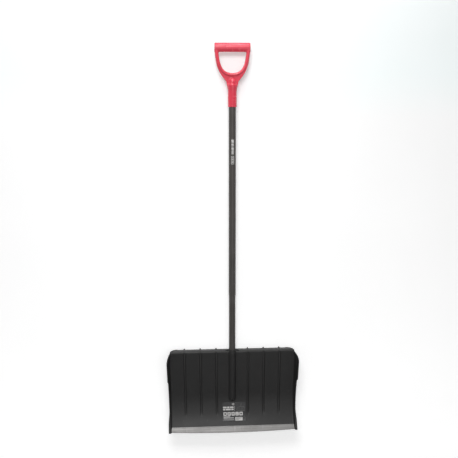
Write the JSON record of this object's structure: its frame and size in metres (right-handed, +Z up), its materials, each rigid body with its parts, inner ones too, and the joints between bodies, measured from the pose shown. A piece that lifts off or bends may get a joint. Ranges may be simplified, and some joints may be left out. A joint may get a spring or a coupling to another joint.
{
  "type": "snow shovel",
  "caption": "Snow shovel with a ribbed black scoop, a metal wear strip along its edge, a two-piece tube shaft and a red D-grip.",
  "frame": {"origin": "middle of the wear strip's level underside, in line with the shaft from side to side", "axes": "+Z up the shaft to the grip, -Y to the front, where the scoop is hollow, +X to the right seen from the front"},
  "size_m": [0.511, 0.0954, 1.4769],
  "materials": {
    "black_plastic": "matte",
    "red_plastic": "satin",
    "aluminium": "satin",
    "coated_steel": "satin",
    "zinc_steel": "satin",
    "label_film": "satin",
    "print_film": "satin"
  },
  "bodies": {
    "root": {"blade": "black_plastic", "wear_strip": "aluminium", "strip_rivet_1": "aluminium", "strip_rivet_2": "aluminium", "strip_rivet_3": "aluminium", "strip_rivet_4": "aluminium", "strip_rivet_5": "aluminium", "strip_rivet_6": "aluminium", "strip_rivet_7": "aluminium", "strip_rivet_8": "aluminium", "lower_tube": "coated_steel", "upper_tube": "coated_steel", "tube_joint_rivet": "zinc_steel", "socket_screw_1": "zinc_steel", "socket_screw_2": "zinc_steel", "d_grip": "red_plastic", "grip_screw": "zinc_steel", "blade_label": "label_film", "shaft_label": "print_film"}
  },
  "joints": []
}
